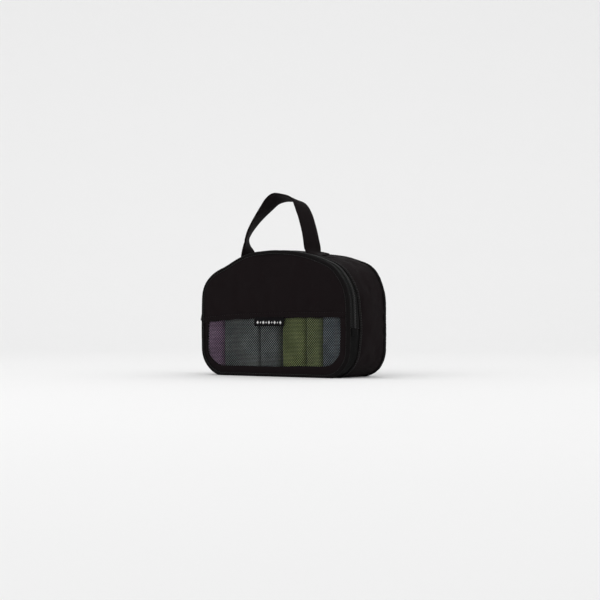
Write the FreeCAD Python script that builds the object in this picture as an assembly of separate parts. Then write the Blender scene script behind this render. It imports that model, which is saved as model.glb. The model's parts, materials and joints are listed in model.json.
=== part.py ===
"""Packing cube standing on its edge: a sewn case with a zip-round flap, a mesh window and a webbing handle.

Millimetres. +Z is up, -Y is the front, and the origin is the middle of the base that the cube stands on.
Every panel follows one rounded outline in the XZ plane, and "offset" means outwards from that outline.
"""

import FreeCAD, Part
import math
import os

from FreeCAD import Vector

# Driving dimensions of the case
WIDTH = 232.0
HEIGHT = 160.0
DEPTH = 80.0
CROWN_RADIUS = 230.0
TOP_RADIUS = 48.0
BOTTOM_RADIUS = 36.0
FABRIC = 1.2
OVERCUT = 1.0

# Depths of the seams, measured from the middle of the case
FRONT = -DEPTH / 2
BACK = DEPTH / 2
FRONT_INSIDE = FRONT + FABRIC
BACK_INSIDE = BACK - FABRIC
BAND_SEAM = -19.0

# Zip: the two coils stand either side of a gap that the slider's post runs in
CHAIN_MIDDLE = -28.0
CHAIN_GAP = 1.2
COIL_WIDTH = 2.2
COIL_HALF_HEIGHT = 0.9
TAPE_OUTSIDE = -0.2
TAPE_INSIDE = -1.0
END_TAB_HEIGHT = 9.0

# The flap folds about the line through both ends of the zip
FOLD_HEIGHT = 62.0
FOLD_CLEARANCE = 0.3

# Edge binding
BINDING_PROUD = 1.0
BINDING_SIDE = 4.5
BINDING_FACE = 4.5
BINDING_THICK = 0.8
SEAM_TAPE_AHEAD = 2.0
SEAM_TAPE_BEHIND = 2.5
INNER_TAPE_WIDTH = 6.0

# Mesh window, hem and label
WINDOW_INSET = 12.0
MESH_THICK = 0.6
HEM_LOW = 72.0
HEM_HIGH = 80.0
HEM_THICK = 0.5
LABEL_WIDTH = 50.0
LABEL_LOW = 62.6
LABEL_HIGH = 76.6
LABEL_THICK = 0.6
LABEL_MIDDLE = -6.0

# Handle of flat webbing
HANDLE_DEPTH = -15.0
HANDLE_FOOT = 52.0
HANDLE_GAP = 0.6
HANDLE_TOP = 234.0
HANDLE_TURNED_BY = 0.45
HANDLE_STEPS = 24
WEBBING_WIDTH = 25.0
WEBBING_THICK = 2.0
ANCHOR_HALF_WIDTH = 15.0
ANCHOR_THICK = 0.8
ANCHOR_DEPTH = 14.5

# Zip sliders and pulls on the left side wall, placed by their distance outside it
SLIDER_LENGTH = 11.5
SLIDER_NOSE_WIDTH = 8.4
SLIDER_TAIL_WIDTH = 6.0
PLATE_THICK = 1.0
OUTER_PLATE = 1.3
INNER_PLATE = -1.7
PLATE_ROUND = 1.6
POST_HALF_WIDTH = 0.25
POST_NEAR_NOSE = 1.5
POST_FAR_FROM_NOSE = 5.0
SLIDER_GAP = 4.0
BAIL_LENGTH = 8.0
BAIL_WIDTH = 2.0
BAIL_TOP = 4.6
BAIL_THICK = 0.8
BAIL_ROUND = 1.4
PIN_DISTANCE = 3.05
PIN_DROP = 2.2
LINK_WIRE = 1.0
LINK_WIDTH = 7.2
LINK_LENGTH = 6.4
TAB_LENGTH = 23.0
TAB_WIDTH = 7.0
TAB_THICK = 1.5
TAB_START = 4.4
UPPER_PULL_LEAN = 13.5

# Folded garments: left edge, right edge and top of each bundle
GARMENTS = {
    "garment_mauve": (-111.0, -85.0, 78.0),
    "garment_grey": (-84.2, -25.6, 80.0),
    "garment_pale_grey": (-24.8, 7.4, 79.0),
    "garment_green": (8.2, 47.0, 79.0),
    "garment_olive": (47.8, 70.4, 77.5),
    "garment_blue": (71.2, 110.0, 77.0),
}
GARMENT_FRONT = -37.5
GARMENT_BACK = 36.5
GARMENT_ROUND = 4.0
GARMENT_CLEARANCE = 0.6

FAR = 400.0

# Rounds in which the arch's start angle settles, and how nearly parallel counts as parallel
ARCH_FIT_ROUNDS = 20
PARALLEL = 0.9


def top_corner():
    """Middle of the right top corner's arc, and the angle at which that arc meets the crown."""
    x = WIDTH / 2 - TOP_RADIUS
    crown_middle = HEIGHT - CROWN_RADIUS
    reach = CROWN_RADIUS - TOP_RADIUS
    return x, crown_middle + math.sqrt(reach**2 - x**2), math.acos(x / reach)


def outline(offset, depth):
    """The rounded outline as a face at one depth, moved outwards by offset."""
    top_x, top_z, meet = top_corner()
    low_x = WIDTH / 2 - BOTTOM_RADIUS
    turn = math.pi
    arcs = (
        (top_x, top_z, TOP_RADIUS, 0.0, meet),
        (0.0, HEIGHT - CROWN_RADIUS, CROWN_RADIUS, meet, turn - meet),
        (-top_x, top_z, TOP_RADIUS, turn - meet, turn),
        (-low_x, BOTTOM_RADIUS, BOTTOM_RADIUS, turn, 1.5 * turn),
        (low_x, BOTTOM_RADIUS, BOTTOM_RADIUS, 1.5 * turn, 2 * turn),
    )
    drawn = []
    for x, z, radius, first, last in arcs:
        far = radius + offset
        angles = (first, (first + last) / 2, last)
        drawn.append([Vector(x + far * math.cos(a), depth, z + far * math.sin(a)) for a in angles])
    edges = []
    for i, points in enumerate(drawn):
        following = drawn[(i + 1) % len(drawn)][0]
        edges.append(Part.Arc(*points).toShape())
        if points[-1].distanceToPoint(following) > 0.01:
            edges.append(Part.LineSegment(points[-1], following).toShape())
    return Part.Face(Part.Wire(edges))


def slab(offset, near, far):
    """A solid plate of the outline between two depths."""
    return outline(offset, near).extrude(Vector(0, far - near, 0))


def ring(outer, inner, near, far):
    """A wall that follows the outline, between two offsets and two depths."""
    return slab(outer, near, far).cut(slab(inner, near - OVERCUT, far + OVERCUT))


def box(x, y, z):
    """A box from three (low, high) pairs."""
    size = [high - low for low, high in (x, y, z)]
    return Part.makeBox(*size, Vector(x[0], y[0], z[0]))


def between(shape, low, high):
    """What lies between two heights."""
    return shape.common(box((-FAR, FAR), (-FAR, FAR), (low, high)))


def one_solid(shape):
    """The shape with its seams merged, as a plain solid or compound of solids."""
    refined = shape.removeSplitter()
    solids = refined.Solids
    return solids[0] if len(solids) == 1 else Part.makeCompound(solids)


def edge_binding(face, into_case):
    """Binding tape folded over the rim of a panel: a strip on the side wall and a lip on the panel's face."""
    side_end = face + into_case * BINDING_SIDE
    lip_end = face - into_case * BINDING_THICK
    side = ring(BINDING_PROUD, 0, min(face, side_end), max(face, side_end))
    lip = ring(BINDING_PROUD, -BINDING_FACE, min(face, lip_end), max(face, lip_end))
    return side.fuse(lip)


def case_shell():
    """Back panel, side walls and the bindings that close their seams."""
    seam_tape = ring(BINDING_PROUD, 0, BAND_SEAM - SEAM_TAPE_AHEAD, BAND_SEAM + SEAM_TAPE_BEHIND)
    inner_tape = ring(-FABRIC, -FABRIC - INNER_TAPE_WIDTH, BACK_INSIDE - FABRIC, BACK_INSIDE)
    return {
        "back_panel": slab(0, BACK_INSIDE, BACK),
        "main_gusset": ring(0, -FABRIC, BAND_SEAM, BACK_INSIDE),
        "lower_band": between(ring(0, -FABRIC, FRONT_INSIDE, BAND_SEAM), 0, FOLD_HEIGHT),
        "back_binding": between(edge_binding(BACK, -1), 0, FAR),
        "middle_binding": between(seam_tape, 0, FAR),
        "inner_seam_tape": inner_tape,
    }


def zip_halves():
    """Tape and coil on each side of the zip, which runs over the top between the two fold ends."""
    case_coil = (CHAIN_MIDDLE + CHAIN_GAP / 2, CHAIN_MIDDLE + CHAIN_GAP / 2 + COIL_WIDTH)
    flap_coil = (CHAIN_MIDDLE - CHAIN_GAP / 2 - COIL_WIDTH, CHAIN_MIDDLE - CHAIN_GAP / 2)
    flap_low = FOLD_HEIGHT + FOLD_CLEARANCE
    coil = (COIL_HALF_HEIGHT, -COIL_HALF_HEIGHT)
    tape = (TAPE_OUTSIDE, TAPE_INSIDE)
    return {
        "case_zip_coil": between(ring(*coil, *case_coil), flap_low, FAR),
        "case_zip_tape": between(ring(*tape, case_coil[1], BAND_SEAM), FOLD_HEIGHT, FAR),
        "flap_zip_coil": between(ring(*coil, *flap_coil), flap_low, FAR),
        "flap_zip_tape": between(ring(*tape, FRONT_INSIDE, flap_coil[0]), flap_low, FAR),
    }


def zip_end_tab(side):
    """Fabric tab sewn over one end of the zip."""
    wall = side * WIDTH / 2
    x = sorted((wall, wall + side * ANCHOR_THICK))
    y = (FRONT + BINDING_SIDE + 0.5, BAND_SEAM - SEAM_TAPE_AHEAD - 0.5)
    return box(x, y, (FOLD_HEIGHT - END_TAB_HEIGHT, FOLD_HEIGHT - 0.2))


def mesh_plate():
    """The mesh panel, from below the fold to the hem."""
    front = (FRONT + FRONT_INSIDE - MESH_THICK) / 2
    return slab(-WINDOW_INSET, front, front + MESH_THICK)


def window_cutter():
    """What is cut from the front panel for the window, before it is limited in height."""
    return slab(-WINDOW_INSET, FRONT - OVERCUT, FRONT_INSIDE + OVERCUT)


def flap():
    """The upper front panel with the top of its mesh, its hem, binding and label."""
    low = FOLD_HEIGHT + FOLD_CLEARANCE
    hem = slab(-WINDOW_INSET, FRONT - HEM_THICK, FRONT)
    opening = between(window_cutter(), 0, HEM_LOW)
    label_front = FRONT - HEM_THICK - LABEL_THICK
    label_x = (LABEL_MIDDLE - LABEL_WIDTH / 2, LABEL_MIDDLE + LABEL_WIDTH / 2)
    return {
        "flap_panel": between(slab(0, FRONT, FRONT_INSIDE).cut(opening), low, FAR),
        "flap_mesh": between(mesh_plate(), low, HEM_LOW),
        "flap_hem": between(hem, HEM_LOW, HEM_HIGH),
        "flap_binding": between(edge_binding(FRONT, 1), low, FAR),
        "label": box(label_x, (label_front, FRONT - HEM_THICK), (LABEL_LOW, LABEL_HIGH)),
    }


def lower_front():
    """The fixed lower front: fabric border, mesh window and binding."""
    border = slab(0, FRONT, FRONT_INSIDE).cut(window_cutter())
    return {
        "window_border": between(border, 0, FOLD_HEIGHT),
        "window_mesh": between(mesh_plate(), 0, FOLD_HEIGHT),
        "lower_binding": between(edge_binding(FRONT, 1), 0, FOLD_HEIGHT),
    }


def handle_anchor(side):
    """Patch that follows the top wall and holds one foot of the handle."""
    middle = side * HANDLE_FOOT
    near = BAND_SEAM + SEAM_TAPE_BEHIND
    patch = ring(ANCHOR_THICK, 0, near, near + ANCHOR_DEPTH)
    span = (middle - ANCHOR_HALF_WIDTH, middle + ANCHOR_HALF_WIDTH)
    return patch.common(box(span, (-FAR, FAR), (HEIGHT / 2, FAR)))


def handle():
    """Webbing arch. It stands square on the crown, facing the front, and turns to lie flat across the top."""
    lean = math.asin(HANDLE_FOOT / CROWN_RADIUS)
    foot_radius = CROWN_RADIUS + ANCHOR_THICK + HANDLE_GAP
    foot_x = foot_radius * math.sin(lean)
    foot_z = HEIGHT - CROWN_RADIUS + foot_radius * math.cos(lean)
    top = HANDLE_TOP - WEBBING_THICK / 2
    half_height = top - foot_z
    start = -lean
    for _ in range(ARCH_FIT_ROUNDS):
        half_height = (top - foot_z) / (1 - math.sin(start))
        half_width = foot_x / math.cos(start)
        start = -math.atan(math.tan(lean) * half_height / half_width)
    sections = []
    for i in range(HANDLE_STEPS + 1):
        angle = start + (math.pi - 2 * start) * i / HANDLE_STEPS
        x = half_width * math.cos(angle)
        z = top - half_height + half_height * math.sin(angle)
        along = Vector(-half_width * math.sin(angle), 0, half_height * math.cos(angle)).normalize()
        outwards = Vector(along.z, 0, -along.x)
        from_foot = min(i, HANDLE_STEPS - i) / (HANDLE_STEPS / 2)
        turned = min(1.0, from_foot / HANDLE_TURNED_BY)
        twist = math.pi / 2 * turned * turned * (3 - 2 * turned)
        across = outwards * math.cos(twist) + Vector(0, 1, 0) * math.sin(twist)
        through = along.cross(across)
        corners = []
        for a, b in ((-1, -1), (1, -1), (1, 1), (-1, 1)):
            shift = across * (a * WEBBING_WIDTH / 2) + through * (b * WEBBING_THICK / 2)
            corners.append(Vector(x, HANDLE_DEPTH, z) + shift)
        sections.append(Part.makePolygon(corners + corners[:1]))
    return Part.makeLoft(sections, True, False)


def from_wall(low, high):
    """The x span of a pair of distances outside the left side wall."""
    return (-WIDTH / 2 - high, -WIDTH / 2 - low)


def slider_plate(low, high, middle, nose):
    """One plate of a slider, wider at its nose, which points up for +1 and down for -1."""
    half = SLIDER_LENGTH / 2
    widths = ((nose, SLIDER_NOSE_WIDTH / 2), (-nose, SLIDER_TAIL_WIDTH / 2))
    x = from_wall(low, high)
    corners = []
    for (end, wide), signs in zip(widths, ((-1, 1), (1, -1))):
        for sign in signs:
            corners.append(Vector(x[0], CHAIN_MIDDLE + sign * wide, middle + end * half))
    plate = Part.Face(Part.makePolygon(corners + corners[:1])).extrude(Vector(x[1] - x[0], 0, 0))
    upright = [e for e in plate.Edges if abs(e.tangentAt(e.FirstParameter).x) > PARALLEL]
    return plate.makeFillet(PLATE_ROUND, upright)


def slider(middle, nose):
    """Slider body: two plates joined by a post at the nose, with a bail on the outer plate."""
    half = SLIDER_LENGTH / 2
    outer = slider_plate(OUTER_PLATE, OUTER_PLATE + PLATE_THICK, middle, nose)
    inner = slider_plate(INNER_PLATE - PLATE_THICK, INNER_PLATE, middle, nose)
    post_z = sorted((middle + nose * (half - POST_FAR_FROM_NOSE), middle + nose * (half - POST_NEAR_NOSE)))
    post_y = (CHAIN_MIDDLE - POST_HALF_WIDTH, CHAIN_MIDDLE + POST_HALF_WIDTH)
    post = box(from_wall(INNER_PLATE, OUTER_PLATE), post_y, post_z)
    bail_y = (CHAIN_MIDDLE - BAIL_WIDTH / 2, CHAIN_MIDDLE + BAIL_WIDTH / 2)
    bail_z = (middle - BAIL_LENGTH / 2, middle + BAIL_LENGTH / 2)
    bail_foot = OUTER_PLATE + PLATE_THICK
    bail = box(from_wall(bail_foot, BAIL_TOP), bail_y, bail_z)
    crown_x = -WIDTH / 2 - BAIL_TOP
    crosswise = [e for e in bail.Edges if abs(e.tangentAt(e.FirstParameter).y) > PARALLEL]
    crosswise = [e for e in crosswise if abs(e.CenterOfMass.x - crown_x) < BAIL_THICK / 2]
    bail = bail.makeFillet(BAIL_ROUND, crosswise)
    window_z = (bail_z[0] + BAIL_THICK, bail_z[1] - BAIL_THICK)
    window = box(from_wall(bail_foot, BAIL_TOP - BAIL_THICK), (-FAR, FAR), window_z)
    return outer.fuse([inner, post, bail.cut(window)])


def pull(middle, lean):
    """Wire link through the bail and the moulded tab on it, leaning out from the wall by lean degrees."""
    pin = Vector(-WIDTH / 2 - PIN_DISTANCE, CHAIN_MIDDLE, middle - PIN_DROP)
    half_wire = LINK_WIRE / 2
    x = (pin.x - half_wire, pin.x + half_wire)
    wide = (pin.y - LINK_WIDTH / 2, pin.y + LINK_WIDTH / 2)
    frame = box(x, wide, (pin.z - LINK_LENGTH + half_wire, pin.z + half_wire))
    inside_y = (wide[0] + LINK_WIRE, wide[1] - LINK_WIRE)
    inside = box(x, inside_y, (pin.z - LINK_LENGTH + half_wire + LINK_WIRE, pin.z - half_wire))
    link = frame.cut(inside)
    top = pin.z - TAB_START
    round_middle = top - TAB_LENGTH + TAB_WIDTH / 2
    flat = (pin.x - TAB_THICK / 2, pin.x + TAB_THICK / 2)
    blade = box(flat, (pin.y - TAB_WIDTH / 2, pin.y + TAB_WIDTH / 2), (round_middle, top))
    end_centre = Vector(flat[0], pin.y, round_middle)
    rounded = Part.makeCylinder(TAB_WIDTH / 2, TAB_THICK, end_centre, Vector(1, 0, 0))
    tab = blade.fuse(rounded).cut(link)
    pieces = {"link": link, "tab": tab}
    for piece in pieces.values():
        piece.rotate(pin, Vector(0, 1, 0), lean)
    return pieces


def garment(left, right, top):
    """A folded bundle that stands on the base and follows the inside of the case."""
    bundle = box((left, right), (GARMENT_FRONT, GARMENT_BACK), (FABRIC, top))
    upright = [e for e in bundle.Edges if abs(e.tangentAt(e.FirstParameter).z) > PARALLEL]
    rounded = bundle.makeFillet(GARMENT_ROUND, upright)
    return rounded.common(slab(-FABRIC - GARMENT_CLEARANCE, -DEPTH, DEPTH))


def build():
    """Every node of the packing cube by name."""
    nodes = {}
    nodes.update(case_shell())
    nodes.update(zip_halves())
    nodes.update(flap())
    nodes.update(lower_front())
    for name, side in (("left", -1), ("right", 1)):
        nodes["zip_end_tab_" + name] = zip_end_tab(side)
        nodes["handle_anchor_" + name] = handle_anchor(side)
    nodes["handle_webbing"] = handle()
    upper = top_corner()[1]
    lower = upper - SLIDER_LENGTH - SLIDER_GAP
    for name, middle, nose, lean in (("upper", upper, -1, UPPER_PULL_LEAN), ("lower", lower, 1, 0.0)):
        nodes["zip_slider_" + name] = slider(middle, nose)
        pieces = pull(middle, lean)
        nodes["pull_link_" + name] = pieces["link"]
        nodes["pull_tab_" + name] = pieces["tab"]
    for name, (left, right, top) in GARMENTS.items():
        nodes[name] = garment(left, right, top)
    return {name: one_solid(shape) for name, shape in nodes.items()}


def main():
    """Writes one STEP file for each node."""
    os.makedirs("parts", exist_ok=True)
    for name, shape in build().items():
        shape.exportStep("parts/" + name + ".step")
        print(f"{name:22s} solids {len(shape.Solids)} valid {shape.isValid()} volume {shape.Volume:10.1f}")


main()
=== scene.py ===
"""Packing cube: how the sewn case, its zip, handle and clothes look on the CAD frame. In metres."""

import json
import math

import bmesh
import bpy
import numpy as np
from mathutils import Matrix, Vector
from mathutils.bvhtree import BVHTree
from mathutils.geometry import delaunay_2d_cdt


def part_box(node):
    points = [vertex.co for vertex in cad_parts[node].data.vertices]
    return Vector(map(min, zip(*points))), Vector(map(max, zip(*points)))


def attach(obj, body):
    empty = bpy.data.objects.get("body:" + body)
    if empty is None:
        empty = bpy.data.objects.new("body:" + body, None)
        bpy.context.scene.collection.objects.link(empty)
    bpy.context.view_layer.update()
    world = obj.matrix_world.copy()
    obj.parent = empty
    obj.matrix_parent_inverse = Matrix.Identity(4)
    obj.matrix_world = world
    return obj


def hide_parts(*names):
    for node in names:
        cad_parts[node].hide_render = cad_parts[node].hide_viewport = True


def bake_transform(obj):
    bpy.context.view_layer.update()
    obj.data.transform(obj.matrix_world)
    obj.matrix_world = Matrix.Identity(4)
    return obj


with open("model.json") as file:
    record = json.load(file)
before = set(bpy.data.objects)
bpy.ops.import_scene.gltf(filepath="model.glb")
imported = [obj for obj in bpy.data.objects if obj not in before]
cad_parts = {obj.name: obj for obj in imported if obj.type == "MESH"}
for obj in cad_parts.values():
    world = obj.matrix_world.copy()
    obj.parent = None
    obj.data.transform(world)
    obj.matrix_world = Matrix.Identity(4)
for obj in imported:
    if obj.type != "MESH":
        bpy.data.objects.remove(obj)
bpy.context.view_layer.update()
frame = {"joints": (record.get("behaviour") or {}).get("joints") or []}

MM = 0.001

# Places and sizes that the frame gives. CHAIN is the middle of the zip's teeth in depth.
JOINTS = {joint["name"]: joint for joint in frame["joints"]}
PANEL_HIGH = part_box("back_panel")[1]
HALF_WIDTH = PANEL_HIGH.x
HEIGHT = PANEL_HIGH.z
BACK = PANEL_HIGH.y
FRONT = -BACK
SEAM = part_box("main_gusset")[0].y
FOLD = JOINTS["flap_fold"]["pos_m"][2]
FOLD_AXIS_Y = JOINTS["flap_fold"]["pos_m"][1]
HEM_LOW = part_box("flap_hem")[0].z
HEM_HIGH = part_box("flap_hem")[1].z
CHAIN = (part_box("flap_zip_coil")[1].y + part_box("case_zip_coil")[0].y) / 2
LABEL_LOW, LABEL_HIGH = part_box("label")
HANDLE_AXIS_Y = JOINTS["handle_fold"]["pos_m"][1]
HANDLE_AXIS_Z = JOINTS["handle_fold"]["pos_m"][2]

# The case's outline, which the frame's panels share
CROWN_RADIUS = 230 * MM
TOP_RADIUS = 48 * MM
BOTTOM_RADIUS = 36 * MM
WINDOW_INSET = 12 * MM

# Cloth and trim. NET_OPEN is the size of the net's holes as a share of its cells.
FABRIC = 1.0 * MM
FRONT_FULLNESS = 1.5 * MM
BINDING_REACH = 4.6 * MM
BINDING_PROUD = 1.0 * MM
WEBBING_WIDTH = 25 * MM
WEBBING_THICK = 2.1 * MM
NET_PITCH = 3.2 * MM
NET_ROW = 1.67 * MM
NET_OPEN = 0.67
TOOTH_PITCH = 2.1 * MM
STITCH_PITCH = 3.0 * MM
STITCH_RADIUS = 0.22 * MM

# Spacing of points along the outline, and the least height of the case's cloth over the floor
STEP = 2.5 * MM
FLOOR_GAP = 0.2 * MM

# Half the height of the band in which the front's cloth bends, and the height over which the strap bends
FOLD_BAND = 1.6 * MM
STRAP_BEND = 32 * MM

UPPER_PULL_LEAN = math.radians(13.5)

# Camera, as far away as the case's perspective says
CAMERA_AZIMUTH = math.radians(36)
CAMERA_DISTANCE = 2.48
CAMERA_HEIGHT = 97.5 * MM
CAMERA_ASIDE = 10.3 * MM
CAMERA_LENS = 115.5


# ---------------------------------------------------------------- outline of the case

TOP_X = HALF_WIDTH - TOP_RADIUS
LOW_X = HALF_WIDTH - BOTTOM_RADIUS
CROWN_Z = HEIGHT - CROWN_RADIUS
TOP_Z = CROWN_Z + math.sqrt((CROWN_RADIUS - TOP_RADIUS) ** 2 - TOP_X**2)
MEET = math.acos(TOP_X / (CROWN_RADIUS - TOP_RADIUS))

# Arcs as (middle x, middle z, radius, first angle, last angle), counterclockwise seen from the front
ARCS = (
    (LOW_X, BOTTOM_RADIUS, BOTTOM_RADIUS, -math.pi / 2, 0.0),
    (TOP_X, TOP_Z, TOP_RADIUS, 0.0, MEET),
    (0.0, CROWN_Z, CROWN_RADIUS, MEET, math.pi - MEET),
    (-TOP_X, TOP_Z, TOP_RADIUS, math.pi - MEET, math.pi),
    (-LOW_X, BOTTOM_RADIUS, BOTTOM_RADIUS, math.pi, 1.5 * math.pi),
)


def outline_route():
    """The outline from the middle of the base, as (length, start, arc or None) in order."""
    def end_of(arc, angle):
        return np.array([arc[0] + arc[2] * math.cos(angle), arc[1] + arc[2] * math.sin(angle)])

    route = []
    here = np.array([0.0, 0.0])
    for arc in ARCS:
        start = end_of(arc, arc[3])
        if np.linalg.norm(start - here) > 1e-6:
            route.append((np.linalg.norm(start - here), here, start, None))
        route.append((arc[2] * (arc[4] - arc[3]), start, end_of(arc, arc[4]), arc))
        here = end_of(arc, arc[4])
    route.append((np.linalg.norm(here), here, np.array([0.0, 0.0]), None))
    return route


ROUTE = outline_route()
PERIMETER = sum(part[0] for part in ROUTE)
SIDE_START = ROUTE[0][0] + ROUTE[1][0]
TOP_CORNER_MIDDLE = SIDE_START + ROUTE[2][0] + ROUTE[3][0] / 2


def outline_at(s):
    """Points and outward normals at distances s along the outline."""
    s = np.mod(np.asarray(s, float), PERIMETER)
    point = np.zeros(s.shape + (2,))
    normal = np.zeros(s.shape + (2,))
    done = 0.0
    for length, start, end, arc in ROUTE:
        inside = (s >= done - 1e-12) & (s <= done + length + 1e-12)
        share = (s - done)[inside] / length
        if arc is None:
            along = (end - start) / length
            point[inside] = start + share[:, None] * (end - start)
            normal[inside] = [along[1], -along[0]]
        else:
            angle = arc[3] + share * (arc[4] - arc[3])
            direction = np.stack([np.cos(angle), np.sin(angle)], -1)
            point[inside] = np.array(arc[:2]) + arc[2] * direction
            normal[inside] = direction
        done += length
    return point, normal


def side_distance(height):
    """How far along the outline the right side wall reaches a height."""
    return SIDE_START + height - BOTTOM_RADIUS


def mirrored(s):
    """The same place on the left half of the outline."""
    return PERIMETER - s


def bump(value, middle, width):
    """A smooth bump of height 1."""
    return np.exp(-(((value - middle) / width) ** 2))


def ripple(s, wavelength, seed):
    """An irregular wave along the outline, from about -1 to 1, that closes on itself."""
    draw = np.random.RandomState(seed)
    total = 0.0
    for share in (0.62, 1.0, 1.45):
        count = max(1, round(PERIMETER / wavelength * share))
        total = total + np.sin(2 * math.pi * count * s / PERIMETER + draw.uniform(0, 2 * math.pi))
    return total / 3


def seam_y(s):
    """Depth of the middle seam, which the full case pulls back halfway up its side walls."""
    height = outline_at(s)[0][..., 1]
    pulled = 5.0 * MM * bump(height, 62 * MM, 42 * MM)
    uneven = 0.35 * MM * ripple(s, 60 * MM, 3)
    return SEAM - 1.8 * MM + pulled + uneven


def give(s, y):
    """How far the soft wall stands outside the plain outline."""
    x, z = np.moveaxis(outline_at(s)[0], -1, 0)
    # Towards the front both top corners are sunk, the left one more
    sunk = 3.2 * MM * bump(s, TOP_CORNER_MIDDLE, 26 * MM)
    sunk = sunk + 6.2 * MM * bump(s, mirrored(TOP_CORNER_MIDDLE + 29 * MM), 31 * MM)
    # Towards the back the top is slack beside the strap's right foot, and so is the right wall's upper end
    slack = 2.6 * MM * bump(x, 24 * MM, 24 * MM) * (z > HEIGHT / 2)
    slack = slack + 1.8 * MM * bump(s, side_distance(116 * MM), 16 * MM)
    # The side walls are full halfway up, and the ends of the case towards the back
    ends = np.clip((np.abs(x) - 50 * MM) / (50 * MM), 0, 1) * np.clip(z / (12 * MM), 0, 1)
    forward = np.clip((10 * MM - y) / (50 * MM), 0, 1)
    backward = np.clip((y + 14 * MM) / (54 * MM), 0, 1)
    full = 1.3 * MM * bump(z, 66 * MM, 36 * MM) * bump(y, -14 * MM, 26 * MM) + 2.2 * MM * ends * backward
    return full - sunk * forward - slack * backward + 0.22 * MM * ripple(s, 45 * MM, 5)


def place(s, offset, y):
    """Points at distances s along the outline, offset outwards, at depth y. None goes below the floor."""
    s, offset, y = np.broadcast_arrays(np.asarray(s, float), offset, y)
    point, normal = outline_at(s)
    reach = offset + give(s, y)
    x = point[..., 0] + normal[..., 0] * reach
    z = point[..., 1] + normal[..., 1] * reach
    return np.stack([x, y, np.maximum(z, FLOOR_GAP)], -1)


# ---------------------------------------------------------------- mesh helpers


def make(name, verts, faces, material, uvs=None, smooth=True):
    """A mesh object from arrays. uvs are one pair per vertex, in metres along the cloth."""
    mesh = bpy.data.meshes.new(name)
    mesh.from_pydata(np.asarray(verts, float).tolist(), [], [list(map(int, f)) for f in faces])
    if uvs is not None:
        layer = mesh.uv_layers.new(name="cloth")
        corner = np.zeros(len(mesh.loops), np.int32)
        mesh.loops.foreach_get("vertex_index", corner)
        layer.data.foreach_set("uv", np.asarray(uvs, np.float32)[corner].ravel())
    mesh.materials.append(material)
    mesh.polygons.foreach_set("use_smooth", [smooth] * len(mesh.polygons))
    mesh.update()
    piece = bpy.data.objects.new(name, mesh)
    bpy.context.scene.collection.objects.link(piece)
    return piece


def grid_faces(rows, columns, wrap_rows=False, wrap_columns=False):
    """Quads between the points of a grid, stored row by row."""
    faces = []
    for i in range(rows if wrap_rows else rows - 1):
        for j in range(columns if wrap_columns else columns - 1):
            a, b = i * columns + j, i * columns + (j + 1) % columns
            c, d = ((i + 1) % rows) * columns + (j + 1) % columns, ((i + 1) % rows) * columns + j
            faces.append((a, b, c, d))
    return faces


def tube_faces(rings, around):
    """Faces of a tube whose rings are stored one after another, with both ends closed."""
    ends = [tuple(range(around)), tuple(reversed(range((rings - 1) * around, rings * around)))]
    return grid_faces(rings, around, wrap_columns=True) + ends


def points_of(*values):
    """Values that broadcast to a grid, as one row of coordinates for each of its points."""
    return np.stack(np.broadcast_arrays(*values), -1).reshape(-1, len(values))


def grid_sheet(name, verts, uvs, material, closed=False, over=False):
    """A sheet from a grid of points. over turns its face the other way."""
    rows, columns = verts.shape[:2]
    faces = grid_faces(rows, columns, wrap_rows=closed)
    if over:
        faces = [tuple(reversed(face)) for face in faces]
    return make(name, verts.reshape(-1, 3), faces, material, uvs)


def unit(vectors):
    """The same directions with a length of 1."""
    return vectors / np.linalg.norm(vectors, axis=-1, keepdims=True)


def from_ends(count):
    """How many steps each of a row's places is away from the nearer end."""
    return np.minimum(np.arange(count), np.arange(count)[::-1])


def settle_modifiers(piece):
    """Replaces the mesh by what its modifiers make of it."""
    graph = bpy.context.evaluated_depsgraph_get()
    made = bpy.data.meshes.new_from_object(piece.evaluated_get(graph))
    piece.modifiers.clear()
    old = piece.data
    piece.data = made
    bpy.data.meshes.remove(old)
    return piece


def thicken(piece, thickness, side=-1.0):
    """Gives a sheet its thickness. side -1 grows it inwards, against its normals."""
    solid = piece.modifiers.new("thick", "SOLIDIFY")
    solid.thickness = thickness
    solid.offset = side
    solid.use_even_offset = False
    return settle_modifiers(piece)


def soften(piece, width, angle=50):
    """Rounds the edges of a piece."""
    bevel = piece.modifiers.new("round", "BEVEL")
    bevel.width = width
    bevel.segments = 2
    bevel.limit_method = "ANGLE"
    bevel.angle_limit = math.radians(angle)
    return settle_modifiers(piece)


def join_shapes(shapes):
    """Vertices and faces of several (verts, faces) shapes as one."""
    verts, faces, count = [], [], 0
    for points, polygons in shapes:
        verts.append(points)
        faces.extend([tuple(v + count for v in polygon) for polygon in polygons])
        count += len(points)
    return np.concatenate(verts), faces


def sweep(name, s, profile, material, closed=False):
    """A tape that follows the outline. profile(s) gives the (offset, depth) loop of its section at each s."""
    sections = np.array([profile(value) for value in s])
    rows, columns = sections.shape[:2]
    verts = place(s[:, None], sections[..., 0], sections[..., 1]).reshape(-1, 3)
    faces = grid_faces(rows, columns, True, True) if closed else tube_faces(rows, columns)
    step = np.linalg.norm(np.diff(sections[0], axis=0, append=sections[0][:1]), axis=1)
    across = np.concatenate([[0], np.cumsum(step)[:-1]])
    uvs = points_of(s[:, None], across)
    return make(name, verts, faces, material, uvs)


def flip_outwards(piece):
    """Makes the normals of a closed mesh point outwards."""
    mesh = bmesh.new()
    mesh.from_mesh(piece.data)
    bmesh.ops.recalc_face_normals(mesh, faces=mesh.faces)
    mesh.to_mesh(piece.data)
    mesh.free()
    return piece


def stretch_of(first, last, step=STEP):
    """Evenly spaced distances along the outline."""
    return np.linspace(first, last, max(2, round((last - first) / step) + 1))


def ring_of(step=STEP):
    """Evenly spaced distances all the way round the outline."""
    count = round(PERIMETER / step)
    return np.arange(count) * PERIMETER / count


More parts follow.
